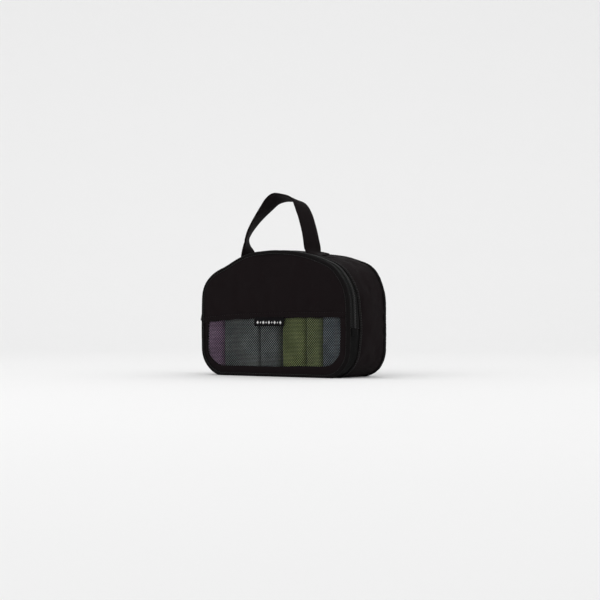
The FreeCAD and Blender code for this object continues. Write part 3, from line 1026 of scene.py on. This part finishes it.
def pull(which):
    """Wire link, and a moulded tab with a slim raised rim and a rounded end."""
    pin_point, down, across, out = pull_axes(which)
    wire = 0.5 * MM
    loop = [(-3.05 * MM, 0), (3.05 * MM, 0), (2.7 * MM, 5.3 * MM), (-2.7 * MM, 5.3 * MM)]
    path = rounded_outline(loop, 1.3 * MM, 6)
    count = len(path)
    verts = []
    for i, (a, d) in enumerate(path):
        tangent = unit(path[(i + 1) % count] - path[i - 1])
        side = np.array([tangent[1], -tangent[0]])
        centre = pin_point + a * across + d * down
        for angle in np.radians(np.arange(0, 360, 45)):
            flat = side * math.cos(angle) * wire
            verts.append(centre + flat[0] * across + flat[1] * down + math.sin(angle) * wire * out)
    link = flip_outwards(make("link_" + which, verts, grid_faces(count, 8, True, True), SLIDER_LACQUER))
    start, end = 4.4 * MM, 27.4 * MM
    neck, wide, shoulder = 2.6 * MM, 3.5 * MM, start + 5 * MM
    body = [(-neck, start), (neck, start), (wide, shoulder), (wide, end), (-wide, end), (-wide, shoulder)]
    body = rounded_outline(body, 2.3 * MM, 8)
    slab = plate(body, -0.45 * MM, 0.45 * MM, "tab", PULL_PLASTIC, (pin_point, across, down, out))
    centre = np.array([0, (start + end) / 2])
    crest = centre + (body - centre) * np.array([0.9, 0.965])
    inner = centre + (body - centre) * np.array([0.70, 0.90])
    rims = []
    for face in (-1, 1):
        height = face * 0.74 * MM
        loops = [(body, 0.3), (body, 0.95), (crest, 1.0), (inner, 0.95), (inner, 0.3)]
        rim = [pin_point + ring[:, :1] * across + ring[:, 1:] * down + height * level * out
               for ring, level in loops]
        faces = grid_faces(len(loops), len(body), True, True)
        rims.append(flip_outwards(make("rim", np.array(rim).reshape(-1, 3), faces, PULL_PLASTIC)))
    soften(slab, 0.2 * MM)
    return link, merged("tab_" + which, [slab] + rims)


# ---------------------------------------------------------------- handle

# Stations of the strap from its left end to its right end, in millimetres and degrees: place (x, z), depth
# from the fold axis, and the angles that its width makes with the front and with the floor.
STRAP = (
    (-78.0, 147.9, 5.0, 90.0, 0.0),
    (-71.5, 150.3, 4.5, 90.0, 0.0),
    (-66.0, 152.2, 4.2, 87.0, 0.0),
    (-62.6, 155.2, 4.0, 80.0, 0.0),
    (-63.0, 161.0, 3.6, 89.0, 0.0),
    (-64.2, 168.0, 3.0, 107.0, 0.0),
    (-63.8, 175.0, 2.6, 118.0, 0.0),
    (-61.0, 181.0, 2.2, 117.0, 0.0),
    (-56.2, 188.5, 1.8, 112.0, 0.0),
    (-48.8, 197.5, 1.4, 105.0, 0.0),
    (-40.0, 206.5, 1.0, 97.0, -2.0),
    (-29.6, 216.2, 0.5, 89.0, -8.0),
    (-20.0, 224.6, 0.0, 83.0, -16.0),
    (-9.5, 229.0, 0.0, 79.0, -23.0),
    (4.0, 228.2, 0.0, 84.0, -19.0),
    (14.0, 226.4, 0.0, 89.0, -14.0),
    (20.6, 222.4, 0.3, 86.0, -9.0),
    (25.2, 216.6, 0.6, 82.0, -2.0),
    (28.2, 211.0, 0.9, 79.0, 0.0),
    (31.4, 204.0, 1.2, 77.0, 0.0),
    (34.6, 194.0, 1.6, 76.0, 0.0),
    (37.2, 184.0, 2.2, 75.0, 0.0),
    (39.1, 173.7, 2.8, 73.0, 0.0),
    (40.7, 164.0, 3.6, 70.0, 0.0),
    (43.6, 158.4, 4.0, 78.0, 0.0),
    (48.0, 156.2, 4.4, 88.0, 0.0),
    (53.0, 155.0, 4.7, 90.0, 0.0),
    (58.0, 153.8, 5.0, 90.0, 0.0),
)

# The strap's rows, those at each end that belong to a foot, and those of them over which it leaves the wall
STRAP_ROWS = 200
FOOT_ROWS = 22
LETTING_GO = 10
# How far the middle of the strap lies above the wall at its feet
FOOT_LIFT = 1.3 * MM


def smooth_between(rows, count):
    """A Catmull-Rom curve through the rows of an array, at even steps of its index."""
    rows = np.asarray(rows, float)
    padded = np.concatenate([2 * rows[:1] - rows[1:2], rows, 2 * rows[-1:] - rows[-2:-1]])
    result = []
    for t in np.linspace(0, len(rows) - 1, count):
        i = min(int(t), len(rows) - 2)
        u = t - i
        a, b, c, d = padded[i : i + 4]
        curve = (2 * a - 5 * b + 4 * c - d) * u**2 + (3 * b - a - 3 * c + d) * u**3
        result.append(0.5 * (2 * b + (c - a) * u + curve))
    return np.array(result)


def wall_height(x, y):
    """Height of the main gusset's top at points of the plan."""
    wall = bpy.data.objects["main_gusset_fabric"].data
    faces = [tuple(face.vertices) for face in wall.polygons]
    tree = BVHTree.FromPolygons([vertex.co for vertex in wall.vertices], faces)
    y = np.maximum(y, SEAM + 3 * MM)
    above, down = 2 * HEIGHT, Vector((0, 0, -1))
    hits = [tree.ray_cast(Vector((a, b, above)), down)[0].z for a, b in zip(x.ravel(), y.ravel())]
    return np.array(hits).reshape(x.shape)


def handle_strap():
    """Flat webbing with bound edges, following its stations. Its flat ends lie on the wall."""
    rows = smooth_between(STRAP, STRAP_ROWS)
    middle = np.stack([rows[:, 0] * MM, HANDLE_AXIS_Y + rows[:, 2] * MM, rows[:, 1] * MM], -1)
    along = unit(np.gradient(middle, axis=0))
    turn, tilt = np.radians(rows[:, 3]), np.radians(rows[:, 4])
    width = np.stack([np.cos(turn) * np.cos(tilt), np.sin(turn) * np.cos(tilt), np.sin(tilt)], -1)
    width = unit(width - (width * along).sum(1, keepdims=True) * along)
    through = np.cross(along, width)
    top = [(-1.0, 0.0), (-0.985, 0.7), (-0.93, 1.0), (-0.5, 0.92), (0.0, 0.95), (0.5, 0.92), (0.93, 1.0),
           (0.985, 0.7)]
    section = np.array(top + [(-a, -b) for a, b in top]) * [WEBBING_WIDTH / 2, WEBBING_THICK / 2]
    verts = middle[:, None] + section[None, :, :1] * width[:, None] + section[None, :, 1:] * through[:, None]
    laid = np.clip((FOOT_ROWS - from_ends(STRAP_ROWS)) / LETTING_GO, 0, 1)
    laid = laid * laid * (3 - 2 * laid)
    flat = np.nonzero(laid)[0]
    drop = wall_height(verts[flat, :, 0], verts[flat, :, 1]) + FOOT_LIFT - middle[flat, None, 2]
    verts[flat, :, 2] += laid[flat, None] * drop
    length = np.concatenate([[0], np.cumsum(np.linalg.norm(np.diff(middle, axis=0), axis=1))])
    across = np.cumsum(np.linalg.norm(np.diff(section, axis=0, prepend=section[:1]), axis=1))
    faces, uvs = tube_faces(len(rows), len(section)), points_of(length[:, None], across)
    return flip_outwards(make("handle_strap", verts.reshape(-1, 3), faces, WEBBING_CLOTH, uvs))


def handle_anchor(name, left, right):
    """Patch of webbing under the flat end of the strap, on the top wall."""
    s = np.linspace(crown_distance(right), crown_distance(left), 15)
    y = np.linspace(HANDLE_AXIS_Y - 6 * MM, HANDLE_AXIS_Y + 18.5 * MM, 13)
    inside = np.minimum(from_ends(13)[None, :], from_ends(15)[:, None])
    rise = np.clip(inside, 0, 1) * 0.4 * MM + 0.2 * MM
    verts = place(s[:, None], rise, y[None, :])
    verts[..., 2] = wall_height(verts[..., 0], verts[..., 1]) + rise
    patch = grid_sheet(name + "_patch", verts, points_of(s[:, None], y), WEBBING_CLOTH)
    return flip_outwards(thicken(patch, 0.7 * MM))


def crown_distance(x):
    """Distance along the outline of a point of the crown."""
    to_crown = ROUTE[0][0] + ROUTE[1][0] + ROUTE[2][0] + ROUTE[3][0]
    return to_crown + ROUTE[4][0] / 2 - CROWN_RADIUS * math.asin(x / CROWN_RADIUS)


# ---------------------------------------------------------------- hem and label


def hem_strip():
    """Turned lower edge of the opaque front."""
    half = HALF_WIDTH - 4 * MM
    x = np.linspace(-half, half, 110)
    level = np.array([HEM_LOW, HEM_LOW + 0.4 * MM, HEM_LOW + 4 * MM, HEM_HIGH - 0.6 * MM, HEM_HIGH])
    rise = np.array([0.15, 0.62, 0.7, 0.6, 0.1]) * MM
    droop = 0.22 * MM * ripple(x + 0.2, 34 * MM, 52)[:, None] * np.array([1, 1, 0.3, 0, 0])
    z = level[None, :] + hem_rise(x)[:, None] + droop
    wave = 0.07 * MM * ripple(x + 0.2, 11 * MM, 51)
    y = FRONT + 0.15 * MM - front_bulge(x[:, None], z) - rise[None, :] + wave[:, None]
    verts = np.stack(np.broadcast_arrays(x[:, None], y, z), -1)
    hem = grid_sheet("flap_hem_fold", verts, points_of(x[:, None], z), CASE_CLOTH, over=True)
    return thicken(hem, 0.9 * MM)


def label():
    """Small woven label sewn along its top edge over the hem, with a generic row of diamonds."""
    x = np.linspace(LABEL_LOW.x + 2.3 * MM, LABEL_HIGH.x - 0.8 * MM, 26)
    z = np.linspace(LABEL_LOW.z + 1.6 * MM, LABEL_HIGH.z - 1.2 * MM, 9)

    def face(along, up):
        """Depth of the label's face, which lifts and curls towards its free lower edge."""
        free = (z[-1] - up) / (z[-1] - z[0])
        sideways = np.abs(2 * (along - x[0]) / (x[-1] - x[0]) - 1)
        flat = FRONT - 0.75 * MM - front_bulge(along, up)
        return flat - 0.35 * MM * free**1.5 - 0.25 * MM * sideways**4 * free

    y = face(x[:, None], z[None, :])
    verts = np.stack(np.broadcast_arrays(x[:, None], y, z), -1)
    piece = grid_sheet("label_woven", verts, points_of(x[:, None], z), LABEL_CLOTH, over=True)
    thicken(piece, 0.45 * MM)
    middle_z = (z[0] + z[-1]) / 2 - 0.9 * MM
    shapes = []
    pitch, large, small = 4.5 * MM, 1.7 * MM, 1.0 * MM
    for i in range(9):
        middle_x = (x[0] + x[-1]) / 2 + (i - 4) * pitch
        size = large if i % 2 == 0 else small
        corners = ((1, 0), (0, 1.3), (-1, 0), (0, -1.3))
        around = [(middle_x + a * size, middle_z + b * size) for a, b in corners]
        front = [(a, face(a, b) - 0.16 * MM, b) for a, b in around]
        back = [(a, face(a, b) + 0.1 * MM, b) for a, b in around]
        faces = [(0, 1, 2, 3), (7, 6, 5, 4)] + [(k, k + 4, (k + 1) % 4 + 4, (k + 1) % 4) for k in range(4)]
        shapes.append((np.array(front + back), faces))
    motif = flip_outwards(make("label_motif", *join_shapes(shapes), MOTIF_THREAD, smooth=False))
    return piece, motif


# ---------------------------------------------------------------- the clothes inside

CLOTHES = {
    # piece: (CAD node, left, right, top in mm, dark colour, light colour, seed)
    "mauve_shirt": ("garment_mauve", -110.8, -83.6, 78.0, (0.42, 0.26, 0.42), (0.72, 0.48, 0.72), 1),
    "grey_shirt": ("garment_grey", -83.1, -25.1, 80.0, (0.19, 0.215, 0.215), (0.42, 0.47, 0.46), 2),
    "pale_grey_shirt": ("garment_pale_grey", -25.0, 5.4, 79.0, (0.21, 0.24, 0.24), (0.46, 0.51, 0.51), 3),
    "green_shirt": ("garment_green", 10.4, 47.4, 79.0, (0.27, 0.33, 0.12), (0.55, 0.65, 0.25), 4),
    "olive_shirt": ("garment_olive", 47.6, 72.2, 77.5, (0.25, 0.31, 0.13), (0.52, 0.61, 0.27), 5),
    "blue_shirt": ("garment_blue", 72.7, 111.0, 77.0, (0.15, 0.185, 0.21), (0.36, 0.42, 0.46), 6),
}
# Radius of a garment's folds, thickness of its cloth, the gap between plies and the gap to the shell
FOLD_ROUND = 1.5 * MM
PLY = 3.4 * MM
PLY_GAP = 1.1 * MM
WALL_CLEARANCE = 3.0 * MM


def folded_path(left, right, front, back, seed):
    """Plan of a cloth folded round and round into a flat bundle, from the outside in."""
    draw = np.random.RandomState(seed)
    points = []
    inset = PLY / 2
    grow = PLY + PLY_GAP
    while right - left - 2 * inset > 1.5 * PLY:
        l, r, f, b = left + inset, right - inset, front + inset, back - inset
        radius = min((r - l) / 2, FOLD_ROUND)
        loop = [(l + radius, f), (r - radius, f), (r, f + radius), (r, b - radius), (r - radius, b),
                (l + radius, b), (l, b - radius), (l, f + radius + grow)]
        centres = {1: (r - radius, f + radius, -90), 3: (r - radius, b - radius, 0),
                   5: (l + radius, b - radius, 90)}
        for i, corner in enumerate(loop):
            points.append(corner)
            if i in centres:
                x, y, first = centres[i]
                for angle in np.radians((first + 22, first + 45, first + 68)):
                    points.append((x + radius * math.cos(angle), y + radius * math.sin(angle)))
        inset += grow
        turn = min((right - left - 2 * inset) / 2, FOLD_ROUND)
        points.append((left + inset + turn * 0.3, front + inset + turn * 0.3))
    points = np.array(points)
    reach = np.concatenate([[0], np.cumsum(np.hypot(*np.diff(points, axis=0).T))])
    even_steps = np.linspace(0, reach[-1], int(reach[-1] / (2.6 * MM)))
    path = np.stack([np.interp(even_steps, reach, points[:, k]) for k in (0, 1)], -1)
    return path + draw.normal(0, 0.06 * MM, path.shape), reach[-1]


def shirt(name):
    """One folded garment standing on the base: a single cloth, thick with its plies, with soft creases."""
    node, left, right, top, dark, light, seed = CLOTHES[name]
    left, right, top = left * MM, right * MM, top * MM
    low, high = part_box(node)
    path, length = folded_path(left, right, low.y + 1.2 * MM, high.y, seed)
    levels = np.linspace(0, 1, 26)
    tangent = unit(np.gradient(path, axis=0))
    s = np.linspace(0, length, len(path))[:, None]
    x, y = path[:, :1] + 0 * levels, path[:, 1:] + 0 * levels
    depth = np.clip(np.abs(x) - LOW_X, 0, BOTTOM_RADIUS - WALL_CLEARANCE - 0.3 * MM)
    floor = BOTTOM_RADIUS - np.sqrt((BOTTOM_RADIUS - WALL_CLEARANCE) ** 2 - depth**2)
    ragged = 0.8 * MM * ripple(s, 23 * MM, seed + 60)
    z = floor + levels * (top - floor) + ragged * levels**2
    crease = ripple(z * 2.2 + s * 0.35, 26 * MM, seed + 70) * 0.55 * MM
    crease = crease + ripple(z * 0.9 - s * 0.5, 17 * MM, seed + 80) * 0.30 * MM
    sag = 0.8 * MM * np.sin(levels * math.pi)
    out = crease * 0.7 + sag * 0.3
    x = x + tangent[:, 1:] * out
    y = y - tangent[:, :1] * out
    near_net = np.clip(1 - (y - low.y) / (12 * MM), 0, 1)
    y = y - near_net * (FRONT_FULLNESS + front_bulge(x, z))
    material = knitted(name + "_jersey", dark, light, 0.9 * MM)
    piece = grid_sheet(name, np.stack([x, y, z], -1), points_of(s, z), material)
    thicken(piece, PLY * 0.86, 0.0)
    soften(piece, 1.2 * MM, 60)
    return piece, length, top


# ---------------------------------------------------------------- putting it together


def finished(nodes):
    """Hides the CAD nodes that the piece stands for."""
    if nodes:
        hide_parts(*nodes)


def ride(piece, body, slot, *nodes):
    """The piece moves with a body."""
    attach(piece, body)
    finished(nodes)


def bend(piece, body, start, end, slot, *nodes):
    """The piece keeps its place with its transform applied, and the CAD nodes that it stands for are hidden.
    """
    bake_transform(piece)
    finished(nodes)


def cut_area(piece):
    """Area of a cloth while it is still a single layer."""
    return sum(face.area for face in piece.data.polygons)


def across_fold(piece, slot, *nodes):
    """Cloth of the front that runs across the fold line, from the case to the flap, kept where it stands."""
    start, end = ((0, FOLD_AXIS_Y, FOLD + side * FOLD_BAND) for side in (-1, 1))
    bend(piece, "flap", start, end, slot, *nodes)


def build_case():
    """The sewn shell and its trim."""
    low_stretch = stretch_of(mirrored(side_distance(FOLD)) - PERIMETER, side_distance(FOLD))
    back = back_panel()
    main = gusset("main_gusset_fabric", ring_of(), seam_y, even(BACK), 25, True, CASE_CLOTH)
    lower = gusset("lower_band_fabric", low_stretch, even(FRONT + 0.8 * MM), seam_y, 10, False, BAND_CLOTH)
    upper = flap_front()
    panels = (back, main, lower, upper)
    puff((
        # panel, pressure, growth, furthest move
        (back, 1.6, 0.004, 5 * MM),
        (main, 2.2, 0.010, 3.2 * MM),
        (lower, 0.8, 0.006, 1.2 * MM),
        (upper, 1.0, 0.003, 3.0 * MM),
    ))
    verts = vertices_of(upper)
    verts[:, 1] -= front_bulge(verts[:, 0], verts[:, 2])
    move_to(upper, verts)
    for piece in panels:
        thicken(piece, FABRIC)
    ride(back, "case", "case_fabric", "back_panel")
    ride(main, "case", "case_fabric", "main_gusset")
    ride(lower, "case", "case_fabric", "lower_band")
    ride(upper, "flap", "case_fabric", "flap_panel")
    ride(rim_binding("back_binding_tape", BACK, -1, 61), "case", "binding", "back_binding")
    ride(middle_binding(), "case", "binding", "middle_binding")
    ride(inner_tape(), "case", "binding", "inner_seam_tape")
    front = rim_binding("front_binding_tape", FRONT, 1, 71, 2.8 * MM)
    across_fold(front, "binding", "flap_binding", "lower_binding")
    border, border_cut = window_border()
    across_fold(border, "case_fabric", "window_border")
    window, window_cut = net()
    across_fold(window, "mesh", "window_mesh", "flap_mesh")
    main_width = BACK - float(seam_y(ring_of()).min())
    lower_width = float(seam_y(low_stretch).max()) - FRONT


def build_zip():
    """Tapes, teeth and the tabs over the zip's ends."""
    ride(zip_tape("case_tape_weave", seam_y, 1, 81), "case", "zip_tape", "case_zip_tape")
    ride(zip_tape("flap_tape_weave", even(FRONT + 1.4 * MM), -1, 82), "flap", "zip_tape", "flap_zip_tape")
    ride(zip_teeth("case_coil_teeth", 1, 0.25), "case", "zip_coil", "case_zip_coil")
    ride(zip_teeth("flap_coil_teeth", -1, 0.75), "flap", "zip_coil", "flap_zip_coil")
    for name, side in (("zip_end_tab_left", -1), ("zip_end_tab_right", 1)):
        ride(end_tab(name, side), "case", "case_fabric", name)
    for which, nose in (("upper", -1), ("lower", 1)):
        ride(slider(which, nose), "slider_" + which, "slider_metal", "zip_slider_" + which)
        link, tab = pull(which)
        ride(link, "pull_" + which, "slider_metal", "pull_link_" + which)
        ride(tab, "pull_" + which, "pull_plastic", "pull_tab_" + which)


def beside_seam(shift):
    """A depth that follows the middle seam."""
    return lambda s: seam_y(s) + shift


def build_seam_stitches():
    """Rows of thread along the bindings, the zip tapes and the back panel's edge."""
    low, high = side_distance(FOLD + 2 * MM), mirrored(side_distance(FOLD + 2 * MM))
    inset, ahead, behind = -BINDING_REACH + 1.1 * MM, even(FRONT - 0.85 * MM), even(BACK + 0.85 * MM)
    on_wall = even(BACK - BINDING_REACH + 1.2 * MM)
    rows = (
        # name, body, first, last, offset, depth, way out, thread
        ("middle_seam_front_row", "case", 0, PERIMETER, 1 * MM, beside_seam(-1.5 * MM), "wall", SEAM_THREAD),
        ("middle_seam_back_row", "case", 0, PERIMETER, 1.0 * MM, beside_seam(1.5 * MM), "wall", SEAM_THREAD),
        ("front_rim_row_flap", "flap", low, high, inset, ahead, -1, SEAM_THREAD),
        ("back_rim_row", "case", 0, PERIMETER, inset, behind, 1, THREAD),
        ("back_wall_row", "case", 0, PERIMETER, 0.95 * MM, on_wall, "wall", THREAD),
        ("zip_row_flap", "flap", low, high, 0.0, even(FRONT + 4.4 * MM), "wall", SEAM_THREAD),
        ("front_rim_row_case", "case", high - PERIMETER, low - 4 * MM, inset, ahead, -1, SEAM_THREAD),
    )
    for name, body, first, last, offset, depth, out, thread in rows:
        ride(outline_stitches(name, first, last, offset, depth, out, thread), body, "binding")


def build_front():
    """Hem and label on the flap."""
    ride(hem_strip(), "flap", "case_fabric", "flap_hem")
    woven_label, motif = label()
    ride(woven_label, "flap", "label", "label")
    ride(motif, "flap", "label")
    x = np.linspace(-HALF_WIDTH + 6 * MM, HALF_WIDTH - 6 * MM, 20)
    rows = []
    for level in (HEM_LOW + 1.6 * MM, HEM_HIGH - 1.4 * MM):
        z = level + hem_rise(x)
        points = np.stack([x, FRONT - 0.55 * MM - front_bulge(x, z), z], -1)
        for first, last in zip(points[:-1], points[1:]):
            rows.append(straight_stitches("row", first, last, (0, -1, 0), THREAD))
    ride(merged("hem_stitches", rows), "flap", "case_fabric")


def build_handle():
    """Strap and its anchors."""
    start, end = ((0, HANDLE_AXIS_Y, HANDLE_AXIS_Z + rise) for rise in (-1 * MM, STRAP_BEND))
    bend(handle_strap(), "handle", start, end, "webbing", "handle_webbing")
    anchors = (("handle_anchor_left", -80 * MM, -52 * MM), ("handle_anchor_right", 37 * MM, 67 * MM))
    for name, left, right in anchors:
        ride(handle_anchor(name, left, right), "case", "webbing", name)


def build_clothes():
    """The folded garments."""
    for name, values in CLOTHES.items():
        piece, length, top = shirt(name)
        ride(piece, "case", values[0], values[0])


def build_stage():
    """Pale floor that curves up into a backdrop."""
    bend_start, bend_radius = 1.2, 0.9
    curve = [(bend_start + bend_radius * math.sin(a), bend_radius - bend_radius * math.cos(a))
             for a in np.radians(range(10, 91, 10))]
    profile = [(-3.2, 0), (bend_start, 0), *curve, (2.1, 3.5)]
    turn = Matrix.Rotation(CAMERA_AZIMUTH, 3, "Z")
    verts = [turn @ Vector((x, y, z)) for y, z in profile for x in (-4.5, 4.5)]
    paper = Material("backdrop_paper", 0.9, specular=0.0)
    grain = paper.noise(paper.object_place(), 0.35, 2)
    paper.colour(paper.mixed(grain, (0.865, 0.865, 0.865), (0.875, 0.875, 0.875)))
    make("backdrop", verts, grid_faces(len(profile), 2), paper.made)


def build_lights():
    """Even light from all round, and three soft lamps."""
    world = bpy.data.worlds.new("studio")
    bpy.context.scene.world = world
    world.use_nodes = True
    background = world.node_tree.nodes["Background"]
    background.inputs["Color"].default_value = (1, 1, 1, 1)
    background.inputs["Strength"].default_value = 0.945
    lights = (
        # name, distance, azimuth from the camera, elevation, size, power
        ("key", 1.9, -48, 46, 1.3, 4.3),
        ("fill", 2.3, 52, 26, 1.5, 2.0),
        ("top", 1.8, 160, 72, 1.4, 2.1),
    )
    lit_height = 0.08
    for name, distance, azimuth, elevation, size, power in lights:
        lamp = bpy.data.lights.new(name, "AREA")
        lamp.size = size
        lamp.energy = power
        angle = math.radians(azimuth) + CAMERA_AZIMUTH
        rise = math.radians(elevation)
        out = Vector((math.sin(angle) * math.cos(rise), -math.cos(angle) * math.cos(rise), math.sin(rise)))
        lamp_object = bpy.data.objects.new(name, lamp)
        lamp_object.location = out * distance + Vector((0, 0, lit_height))
        lamp_object.rotation_euler = (-out).to_track_quat("-Z", "Y").to_euler()
        bpy.context.scene.collection.objects.link(lamp_object)


def build_camera():
    """Camera level with the case, and plain tones."""
    scene = bpy.context.scene
    camera = bpy.data.objects.new("camera", bpy.data.cameras.new("camera"))
    camera.data.lens = CAMERA_LENS
    aside = Vector((math.cos(CAMERA_AZIMUTH), math.sin(CAMERA_AZIMUTH), 0)) * CAMERA_ASIDE
    towards = Vector((math.sin(CAMERA_AZIMUTH), -math.cos(CAMERA_AZIMUTH), 0))
    camera.location = towards * CAMERA_DISTANCE + aside + Vector((0, 0, CAMERA_HEIGHT))
    camera.rotation_euler = (math.pi / 2, 0, CAMERA_AZIMUTH)
    scene.collection.objects.link(camera)
    scene.camera = camera
    scene.view_settings.view_transform = "Standard"


build_stage()
build_lights()
build_camera()
build_case()
build_zip()
build_seam_stitches()
build_front()
build_handle()
build_clothes()
